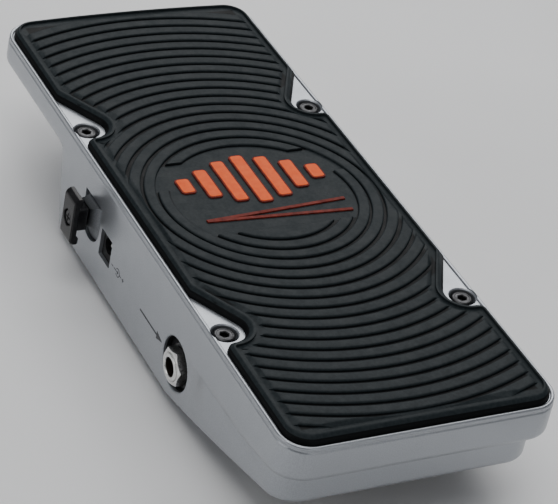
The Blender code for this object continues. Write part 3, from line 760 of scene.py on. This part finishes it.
def make_emblem(materials):
    """Generic level bars and a widening hairpin in the middle of the tread."""
    low = MAT_FLOOR - 0.1 * MM
    borders, fills = [], []
    layers = ((borders, 0.0, TOP + 2.05 * MM), (fills, -0.55 * MM, TOP + 2.2 * MM))
    for i, half_height in enumerate(BAR_HEIGHTS):
        x = (i - 3) * BAR_PITCH * MM
        for parts, grow, high in layers:
            half = BAR_HALF + grow
            tall = half_height * MM + grow
            outline = rounded_rectangle((x - half, BAR_Y - tall), (x + half, BAR_Y + tall),
                                        min(half, 1.6 * MM + grow))
            parts.append(prism(outline, low, high, 0.12 * MM))
    tip, mouth, gap = Vector((-25, -10.4)) * MM, 27 * MM, 3.2 * MM
    for sign in (-1, 1):
        end = Vector((mouth, tip.y + sign * gap))
        across = (end - tip).normalized().orthogonal() * 0.7 * MM
        outline = [tip - across, end - across, end + across, tip + across]
        height = TOP + (2.02 + 0.01 * sign) * MM
        borders.append(prism([tuple(p) for p in outline], low, height, 0.1 * MM))
    show(add_object("emblem_border", joined(borders), materials["maroon"]), "black_rubber")
    show(add_object("emblem_fill", joined(fills), materials["orange"]), "black_rubber")


# ------------------------ cover

def toe_share(y):
    """0 along the pedal's middle, 1 at the toe, where the cover stands clear of the housing."""
    share = min(max((y - TOE_EASE) / (8 * MM), 0.0), 1.0)
    return share * share * (3 - 2 * share)


def cover_ring(inset, z, eased=False):
    if not eased:
        return [(x, y, z) for x, y in plan_outline(inset)]
    return [(x0 + (x1 - x0) * toe_share(y0), y0 + (y1 - y0) * toe_share(y0), z)
            for (x0, y0), (x1, y1) in zip(plan_outline(0), plan_outline(inset))]


def make_cover(materials):
    """Cover: plate, bead with a shadow line below it, rim, bosses and counterbores.

    The bead and edge tables are (inset, height above the bead's top).
    """
    under = TOP - 3.6 * MM
    bead = [(1.55, -0.6), (1.45, -0.32), (1.25, -0.12), (1.0, -0.02), (0.78, 0.0), (0.5, -0.06),
            (0.3, -0.22), (0.18, -0.5), (0.16, -0.85), (0.26, -1.12), (0.34, -1.35), (0.34, -1.7),
            (0.22, -1.95), (0.07, -2.15), (0.0, -2.5), (0.0, -7.2)]
    edge = [(0.0, -8.2), (0.12, -9.0), (0.4, -9.7), (0.85, -10.25), (1.4, -10.6), (2.0, -10.8)]
    rings = [cover_ring(inset * MM, TOP + z * MM) for inset, z in bead]
    rings += [cover_ring(inset * MM, TOP + z * MM, eased=True) for inset, z in edge]
    rings.append(cover_ring(2.3 * MM, SEAM, eased=True))
    rings.append(cover_ring(2.8 * MM, SEAM))
    rings.append(cover_ring(3.1 * MM, under))
    cover = add_object("cover_shell", loft(rings))
    inner = HALF - 3.0 * MM
    extras = [block((-inner, FRONT_HIGH - 2.6 * MM, SEAM + 0.06 * MM),
                    (inner, FRONT_HIGH, under + 1 * MM))]
    for x in (-24 * MM, 0, 24 * MM):
        extras.append(block((x - 1 * MM, FRONT_HIGH - 0.5 * MM, TOP - 8 * MM),
                            (x + 1 * MM, LENGTH / 2 - 4.5 * MM, under + 1 * MM)))
    extras += [post(x, y, SEAM + 0.06 * MM, under + 1 * MM, 4.9 * MM) for x, y in screw_places()]
    combine(cover, "UNION", *extras)
    holes = []
    for x, y in screw_places():
        sink = [(SCREW_HOLE, SEAM - 1 * MM), (SCREW_HOLE, HEAD_SEAT), (COUNTERBORE, HEAD_SEAT),
                (COUNTERBORE, TOP - 1.0 * MM), (COUNTERBORE + 0.35 * MM, TOP - 0.62 * MM),
                (COUNTERBORE + 0.5 * MM, TOP - 0.5 * MM), (COUNTERBORE + 0.5 * MM, TOP + 1 * MM)]
        holes.append(moved(stepped(sink), Matrix.Translation((x, y, 0))))
    combine(cover, "DIFFERENCE", joined(holes))
    finish_surface(cover, materials["silver"])
    show(cover, "silver_paint", "top_cover")


def make_cover_screws(materials):
    """Round-shouldered socket screws; tables are (radius, height above the seat)."""
    levels = [(1.95, -13.9), (1.95, 0.32), (3.45, 0.32), (3.5, 0.5), (3.5, 2.55), (3.43, 2.85),
              (3.2, 3.1), (2.85, 3.22), (2.55, 3.25), (2.42, 3.15)]
    socket = scaled([(1.5, 1.5), (1.5, 2.85), (1.95, 3.3)])
    for i, (x, y) in enumerate(screw_places()):
        screw = add_object(f"cover_bolt_{i + 1}",
                           moved(stepped(scaled(levels)), Matrix.Translation((x, y, HEAD_SEAT))))
        hexagon = loft([[(x + px, y + py, HEAD_SEAT + z) for px, py in circle(r, 6)]
                        for r, z in socket])
        combine(screw, "DIFFERENCE", hexagon)
        finish_surface(screw, materials["oxide"])
        show(screw, "dark_steel", f"cover_screw_{i + 1}")


# ------------------------ housing

def hull_bottom(y):
    return SOLE + max(KINK - y, 0.0) * math.tan(ROCK)


def shoulder_low(y):
    blend = min(max((y - HULL_HEEL) / (26 * MM), 0.0), 1.0)
    return SHOULDER_HEEL + (SHOULDER_SIDE - SHOULDER_HEEL) * blend


def half_plan(step, inset, z):
    """Right half of the housing's outline, heel to front; step is 0 above the shoulder."""
    heel = HULL_HEEL + step * STEP_HEEL + inset
    lean = (FRONT_HIGH - FRONT_LOW) / (PARTING - SOLE)
    front = FRONT_HIGH - lean * (PARTING - z) - inset

    def side(y):
        share = max(STEP_START - y, 0.0) / (STEP_START - HULL_HEEL)
        return HULL_HALF - inset - step * STEP_SIDE * share ** 1.5

    radius = HEEL_CORNER - inset
    points = arc((side(heel + radius) - radius, heel + radius), radius, -90, 0, 14)
    for y in (-104, -98, -92, -86, -80, -74, -68, -62, -57, STEP_START / MM, -47, KINK / MM,
              -20, 20, 40):
        points.append((side(y * MM), y * MM))
    radius = FRONT_CORNER - inset
    return points + arc((HULL_HALF - inset - radius, front - radius), radius, 0, 90, 12)


def hull_ring(step, inset, height):
    right = [(x, y, height(y)) for x, y in half_plan(step, inset, height(FRONT_LOW))]
    return right + [(-x, y, z) for x, y, z in reversed(right)]


def capped_hull(rings):
    """Skin the rings and close the kinked bottom with cross-strips."""
    bm, rows = skin(rings)
    bm.faces.new(rows[0])
    last, count = rows[-1], len(rows[-1])
    for i in range(count // 2 - 1):
        bm.faces.new((last[i], last[i + 1], last[count - 2 - i], last[count - 1 - i]))
    return bm


def hull_outside():
    """Outer skin: flush shoulder, rounded step below it, rounded bottom edges."""
    rings = [hull_ring(0, 0, lambda y: SEAM - 0.005 * MM)]
    for i in range(8):
        angle = math.pi / 2 * i / 7
        step, rise = 1 - math.cos(angle), 3.0 * MM * (1 - math.sin(angle))
        rings.append(hull_ring(step, 0, lambda y, rise=rise: shoulder_low(y) + rise))
    for i in range(7):
        angle = math.pi / 2 * i / 6
        inset, rise = HULL_ROUND * (1 - math.cos(angle)), HULL_ROUND * (1 - math.sin(angle))
        rings.append(hull_ring(1, inset, lambda y, rise=rise: hull_bottom(y) + rise))
    return capped_hull(rings)


def hull_inside():
    top = SEAM + 5 * MM
    return capped_hull([hull_ring(1, WALL, lambda y: top),
                        hull_ring(1, WALL, lambda y: hull_bottom(y) + WALL)])


def notch_u(half, low, high):
    """U outline in (y, z), open at the top."""
    bottom = arc((NOTCH_Y, low + half), half, 180, 360, 20)
    return [(NOTCH_Y - half, high)] + bottom + [(NOTCH_Y + half, high)]


def board_screw_places():
    low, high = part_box("main_board")
    return [(x, y) for y in (low.y + 5 * MM, high.y - 24 * MM)
            for x in (low.x + 5 * MM, high.x - 5 * MM)]


def make_housing(materials):
    """Hollow wedge with jack pockets, bosses, posts, power opening and cleat notch."""
    floor, board = SOLE + WALL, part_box("main_board")[0].z
    hull = add_object("case_shell", hull_outside())
    combine(hull, "DIFFERENCE", hull_inside())
    solid, hollow = [], []
    # The ring 1.2 mm in from the wall's face splits the pocket wall so that its deeper part can
    # take painted shade.
    pocket = [(POCKET_R, -3 * MM), (POCKET_R, -1.2 * MM), (POCKET_R, -0.35 * MM),
              (POCKET_R + 0.35 * MM, 0.0), (POCKET_R + 0.35 * MM, 1 * MM)]
    for side in (-1, 1):
        outer = wall_frame(side, JACK_Y, POCKET_Z)
        solid.append(moved(post(0, 0, -5.5 * MM, -0.4 * MM, 11.3 * MM, 48), outer))
        hollow.append(moved(stepped(pocket, 64), outer))
        hollow.append(moved(post(0, 0, -9 * MM, 2 * MM, JACK_HOLE, 48),
                            wall_frame(side, JACK_Y, JACK_Z)))
    for x, y in screw_places():
        solid.append(post(x, y, hull_bottom(y) + 1.7 * MM, SEAM - 0.05 * MM, BOSS))
        hollow.append(post(x, y, HEAD_SEAT - 15 * MM, SEAM + 2 * MM, SCREW_HOLE, 24))
    for x, y in board_screw_places():
        solid.append(post(x, y, floor - 1 * MM, board - 0.3 * MM, 3 * MM, 24))
        hollow.append(post(x, y, floor + 1 * MM, board + 2 * MM, 1.55 * MM, 20))
    for x in (-BRACKET_X, BRACKET_X):
        solid.append(post(x, SWITCH_Y, floor - 1 * MM, 15 * MM, 3.4 * MM, 24))
        hollow.append(post(x, SWITCH_Y, 8 * MM, 17 * MM, 1.75 * MM, 20))
    hollow.append(post(0, SWITCH_Y, 0, floor + 2 * MM, PLUNGER_HOLE, 48))
    hollow.append(slab_x(notch_u(NOTCH_HALF, NOTCH_LOW, SEAM - 0.45 * MM),
                         -HULL_HALF - 2 * MM, -HULL_HALF + 4 * MM))
    opening = rounded_rectangle((DC_Y - SOCKET_Y, DC_Z - SOCKET_Z),
                                (DC_Y + SOCKET_Y, DC_Z + SOCKET_Z), 0.5 * MM, 4)
    # The ring at SOCKET_EDGE lets the opening's walls beyond it take painted shade.
    hollow.append(loft([[(sunk - HULL_HALF, y, z) for y, z in opening]
                        for sunk in (-2 * MM, SOCKET_EDGE, 6 * MM)]))
    combine(hull, "UNION", *solid)
    combine(hull, "DIFFERENCE", *hollow)
    finish_surface(hull, materials["silver"])
    paint_opening_shade(hull, materials["black"])
    show(hull, "silver_paint", "lower_housing")


def paint_opening_shade(hull, black):
    """Painted shade: the jack pockets' floors and deeper walls and the inside of the power
    opening, where shade falls, take the black plastic.
    """
    hull.data.materials.append(black)
    near = 0.1 * MM
    for face in hull.data.polygons:
        x, y, z = face.center
        sunk = HULL_HALF - abs(x)
        in_opening = (x < 0 and SOCKET_EDGE + near < sunk < 6 * MM
                      and abs(y - DC_Y) < SOCKET_Y + near
                      and abs(z - DC_Z) < SOCKET_Z + near)
        in_pocket = (1.3 * MM < sunk < 3.1 * MM
                     and math.hypot(y - JACK_Y, z - POCKET_Z) < POCKET_R + near)
        if in_opening or in_pocket:
            face.material_index = 1


def stroke(a, b, width):
    """Outline of a straight stroke between two points."""
    a, b = Vector(a), Vector(b)
    across = (b - a).normalized().orthogonal() * width / 2
    return [tuple(a - across), tuple(b - across), tuple(b + across), tuple(a + across)]


def ring_strip(centre, radius, width, start, end):
    """Flat arc strip as an outline."""
    outer, inner = [arc(centre, radius + side * width / 2, start, end, 28) for side in (1, -1)]
    return outer + inner[::-1]


def make_wall_marks(materials):
    """Printed marks on the left wall: an arrow at the jack and the usual polarity sign."""
    z = TOP - 24.6 * MM
    arrow = [stroke((-17.5 * MM, z), (-31 * MM, z), 0.7 * MM),
             [(-31 * MM, z - 1.5 * MM), (-31 * MM, z + 1.5 * MM), (-35.5 * MM, z)]]
    y0, z0, line = 1.6 * MM, TOP - 24.1 * MM, 0.35 * MM
    sign = [ring_strip((y0, z0), 1.45 * MM, line, 35, 325), circle(0.5 * MM, 16, (y0, z0))]
    strokes = ((0.1, 0, 3.1, 0), (-1.45, 0, -3.1, 0), (3.7, 0, 5.1, 0), (-3.6, 0, -5.0, 0),
               (-4.3, -0.7, -4.3, 0.7))
    sign += [stroke((y0 + a * MM, z0 + b * MM), (y0 + c * MM, z0 + d * MM), line)
             for a, b, c, d in strokes]
    face = -HULL_HALF
    for name, outlines in (("arrow_mark", arrow), ("polarity_mark", sign)):
        parts = [slab_x(outline, face + 0.02 * MM, face - (0.035 + 0.002 * i) * MM)
                 for i, outline in enumerate(outlines)]
        piece = add_object(name, joined(parts), materials["print"])
        show(piece, "silver_paint")


# ------------------------ jacks and cleat

def nut_mesh(apothem, bore, low, high):
    """Hexagon nut with the usual turned chamfer."""
    segments, rings = 96, []
    turned_radius = apothem * 0.985
    for i in range(segments):
        angle = 2 * math.pi * i / segments
        corner = math.radians(60) * round(angle / math.radians(60))
        flat = apothem / math.cos(angle - corner)
        drop = (flat - turned_radius) * 0.6
        profile = [(bore, low), (flat, low), (flat, high - drop - 0.05 * MM),
                   (turned_radius, high - 0.02 * MM), (turned_radius - 0.25 * MM, high),
                   (bore + 0.3 * MM, high), (bore, high - 0.3 * MM)]
        rings.append([(r * math.cos(angle), r * math.sin(angle), z) for r, z in profile])
    return loft(rings, close=True)


def make_jack(label, side, materials):
    """Bright bushing, hexagon nut and dark washer in one side pocket; the bore carries painted
    shadow.
    """
    place = wall_frame(side, JACK_Y, JACK_Z, HALF - 0.3 * MM)
    profile = [(3.25, -6.1), (7.0, -6.1), (7.0, -5.8), (4.55, -5.8), (4.55, 1.75), (4.45, 1.9),
               (4.2, 2.05), (3.9, 2.1), (3.55, 2.1), (3.35, 2.02), (3.27, 1.85), (3.25, 1.6)]
    bushing = add_object(f"{label}_sleeve", moved(turned(scaled(profile)), place),
                         materials["nickel"])
    bushing.data.materials.append(materials["bore"])
    # Painted shadow: faces inside the bore take the dark bore material.
    for face in bushing.data.polygons:
        middle = face.center
        across = math.hypot(middle.y - JACK_Y, middle.z - JACK_Z)
        if across < 3.3 * MM and abs(middle.x) < HALF + 1.3 * MM:
            face.material_index = 1
    show(bushing, "nickel", f"{label}_bushing")
    turn = Matrix.Rotation(math.radians(15), 4, "Z")
    nut = add_object(f"{label}_hex",
                     moved(nut_mesh(NUT_FLAT, NUT_BORE, -1.8 * MM, 1.6 * MM), place @ turn),
                     materials["nickel"])
    show(nut, "nickel", f"{label}_nut")
    ring = [(4.9, -2.68), (7.2, -2.68), (7.25, -2.6), (7.25, -2.2), (7.15, -2.1), (4.9, -2.1)]
    washer = add_object(f"{label}_ring", moved(turned(scaled(ring)), place), materials["oxide"])
    show(washer, "dark_steel", f"{label}_washer")


def cleat_flange(low, high):
    """Flange with rounded outer top and bottom edges and lips turned back at both ends."""
    outer, inner = low.x, low.x + 3.2 * MM
    thin = inner - 0.9 * MM
    points = [(inner, low.z + 0.5 * MM), (inner - 0.5 * MM, low.z)]
    for centre, radius, start in ((low.z + 1.9 * MM, 1.9 * MM, 270),
                                  (high.z - 2.3 * MM, 2.3 * MM, 180)):
        points += arc((outer + radius, centre), radius, start, start - 90, 8)
    points += [(inner - 0.5 * MM, high.z), (inner, high.z - 0.5 * MM), (inner, high.z - 2.4 * MM),
               (thin, high.z - 3.6 * MM), (thin, low.z + 3.6 * MM), (inner, low.z + 2.4 * MM)]
    ease = 0.45 * MM
    narrow = shrunk(points, ease)
    return loft([[(x, y, z) for x, z in outline] for outline, y in
                 ((narrow, low.y), (points, low.y + ease), (points, high.y - ease),
                  (narrow, high.y))])


def make_cleat_plate(shoulder, place, materials):
    """Silver plate filling the notch, swelling out to the shoulder under the cleat.

    The swell table is (distance out in mm, half width in mm, bottom, top).
    """
    box_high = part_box("cleat_base")[1]
    face = -HALF + 1.4 * MM
    swell = [(0.0, 6.65, NOTCH_LOW + 0.35 * MM, box_high.z),
             (0.25, 6.5, NOTCH_LOW + 0.5 * MM, box_high.z - 0.1 * MM),
             (0.6, 5.6, CLEAT_Z - 7.4 * MM, box_high.z - 0.5 * MM),
             (1.2, 4.7, CLEAT_Z - 5.6 * MM, box_high.z - 0.9 * MM),
             (2.2, 4.0, CLEAT_Z - 4.5 * MM, CLEAT_Z + 5.0 * MM),
             (3.4, 3.6, CLEAT_Z - 3.9 * MM, CLEAT_Z + 4.8 * MM)]
    rings = [[(box_high.x - 1.45 * MM, y, z)
              for y, z in notch_u(6.65 * MM, NOTCH_LOW + 0.35 * MM, box_high.z)]]
    rings += [[(face - out * MM, y, z) for y, z in notch_u(half * MM, low, high)]
              for out, half, low, high in swell]
    rings.append([(shoulder, y, z) for y, z in notch_u(STEM_HALF, STEM_LOW, STEM_HIGH)])
    plate = add_object("cleat_plate", loft(rings))
    combine(plate, "UNION", slab_x(notch_u(8.6 * MM, NOTCH_LOW - 1.6 * MM, box_high.z),
                                   box_high.x - 1.5 * MM, box_high.x))
    combine(plate, "DIFFERENCE", moved(post(0, 0, 0, 60 * MM, 1.8 * MM), place))
    finish_surface(plate, materials["shaded"])
    show(plate, "silver_paint", "cleat_base")


def make_cleat(materials):
    """Glossy T-shaped cleat on the silver shoulder of the notch plate, and its sunk screw."""
    low, high = CLEAT_LOW, CLEAT_HIGH
    cleat = add_object("cleat_head", cleat_flange(low, high))
    stem = block((low.x + 1.2 * MM, NOTCH_Y - STEM_HALF, STEM_LOW),
                 (high.x, NOTCH_Y + STEM_HALF, STEM_HIGH), 0.25 * MM)
    combine(cleat, "UNION", stem)
    place = wall_frame(-1, NOTCH_Y, CLEAT_Z, 0.0)
    make_cleat_plate(high.x + 0.3 * MM, place, materials)
    face = -low.x
    recess = [(1.8 * MM, 0.0), (1.8 * MM, face - 1.6 * MM), (2.9 * MM, face - 1.6 * MM),
              (2.9 * MM, face - 0.25 * MM), (3.15 * MM, face), (3.15 * MM, face + 1 * MM)]
    combine(cleat, "DIFFERENCE", moved(stepped(recess), place))
    finish_surface(cleat, materials["gloss"])
    show(cleat, "cleat_plastic", "cable_cleat")
    shank = -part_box("cleat_screw")[1].x
    levels = [(1.5, shank / MM), (1.5, face / MM - 1.3), (2.5, face / MM - 1.3),
              (2.5, face / MM - 0.75), (2.35, face / MM - 0.5), (1.9, face / MM - 0.35),
              (0.9, face / MM - 0.25)]
    screw = add_object("cleat_bolt", moved(stepped(scaled(levels)), place))
    arms = [moved(block((-x, -y, face - 0.95 * MM), (x, y, face + 1 * MM)), place)
            for x, y in ((1.5 * MM, 0.3 * MM), (0.3 * MM, 1.5 * MM))]
    combine(screw, "DIFFERENCE", *arms)
    finish_surface(screw, materials["oxide"])
    show(screw, "dark_steel", "cleat_screw")


# ------------------------ inside pieces

def make_spring(materials):
    """Return coil over the toe plunger, built at the length of its imported solid."""
    low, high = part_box("toe_spring")
    wire = 0.45 * MM
    radius = (high.x - low.x) / 2 - wire
    middle = Vector(((high.x + low.x) / 2, (high.y + low.y) / 2, 0))
    turns, steps = 5.5, 200
    rings = []
    for i in range(steps + 1):
        share = i / steps
        rise = min(max((share * turns - 0.9) / (turns - 1.8), 0.0), 1.0)
        angle = 2 * math.pi * turns * share
        z = low.z + wire + (high.z - low.z - 2 * wire) * rise
        outward = Vector((math.cos(angle), math.sin(angle), 0))
        centre = middle + outward * radius + Vector((0, 0, z))
        rings.append([centre + (outward * math.cos(a) + Vector((0, 0, 1)) * math.sin(a)) * wire
                      for a in (2 * math.pi * k / 10 for k in range(10))])
    spring = show(add_object("return_coil", loft(rings), materials["steel"], 60), "zinc_steel",
                  "toe_spring")
    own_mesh(spring)


def make_foam(materials):
    """Foam wedge under the battery, with softly rounded edges."""
    bm = bmesh.new()
    bm.from_mesh(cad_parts["battery_pad"].data)
    bmesh.ops.remove_doubles(bm, verts=bm.verts, dist=1e-6)
    bmesh.ops.dissolve_limit(bm, angle_limit=0.02, verts=bm.verts, edges=bm.edges)
    bmesh.ops.bevel(bm, geom=bm.edges[:], offset=1.4 * MM, segments=4, profile=0.6,
                    affect="EDGES")
    wedge = show(add_object("foam_wedge", bm, materials["foam"]), "grey_foam", "battery_pad")


# ------------------------ kept solids

def dress_kept_nodes(materials):
    """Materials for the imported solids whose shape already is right."""
    looks = {"main_board": "board", "battery": "jacket", "battery_snap": "black",
             "toe_plunger": "black", "toe_switch": "black", "switch_bracket": "steel",
             "dc_jack_pin": "nickel"}
    endings = {"_body": "black", "_contact": "brass", "_chip": "chip", "_sensor": "chip",
               "_pad": "rubber"}
    starts = {"capacitor": "steel", "board_screw": "steel", "bracket_screw": "steel",
              "toe_bumper": "rubber"}
    for name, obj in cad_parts.items():
        look = looks.get(name)
        look = look or next((v for k, v in endings.items() if name.endswith(k)), None)
        look = look or next((v for k, v in starts.items() if name.startswith(k)), None)
        if look:
            obj.data.materials.clear()
            obj.data.materials.append(materials[look])


# ------------------------ stage

def make_floor():
    bm = bmesh.new()
    bmesh.ops.create_grid(bm, x_segments=1, y_segments=1, size=6.0)
    m = Nodes("studio_floor")
    m.colour(m.ramp(m.noise(6, 3), (0.84, 0.84, 0.84), (0.88, 0.88, 0.88)))
    m.roughness(m.span(m.noise(30, 3), 0.6, 0.7))
    add_object("floor", bm, m.material)


def make_light(name, place, aim, size, power):
    light = bpy.data.lights.new(name, "AREA")
    light.shape = "RECTANGLE"
    light.size, light.size_y = size
    light.energy = power
    obj = bpy.data.objects.new(name, light)
    obj.location = place
    obj.rotation_euler = (Vector(aim) - Vector(place)).to_track_quat("-Z", "Y").to_euler()
    bpy.context.scene.collection.objects.link(obj)


def make_lights():
    aim = (0, 0, 0.03)
    make_light("behind", (0.45, 0.80, 0.85), aim, (1.1, 0.9), 9.5)
    make_light("overhead", (-0.25, -0.1, 1.3), aim, (0.9, 0.9), 7)
    make_light("left", (-1.3, 0.1, 0.45), aim, (0.7, 0.5), 2.6)
    make_light("heel", (0.2, -1.3, 0.6), aim, (0.6, 0.4), 2.0)
    world = bpy.data.worlds.new("studio")
    world.use_nodes = True
    world.node_tree.nodes["Background"].inputs["Color"].default_value = (0.9, 0.93, 1.0, 1)
    world.node_tree.nodes["Background"].inputs["Strength"].default_value = 0.16
    bpy.context.scene.world = world


def main():
    materials = make_materials()
    make_floor()
    make_lights()
    make_tread(materials)
    make_emblem(materials)
    make_cover(materials)
    make_cover_screws(materials)
    make_housing(materials)
    make_wall_marks(materials)
    make_jack("output_jack", -1, materials)
    make_jack("input_jack", 1, materials)
    make_cleat(materials)
    make_spring(materials)
    make_foam(materials)
    dress_kept_nodes(materials)


main()
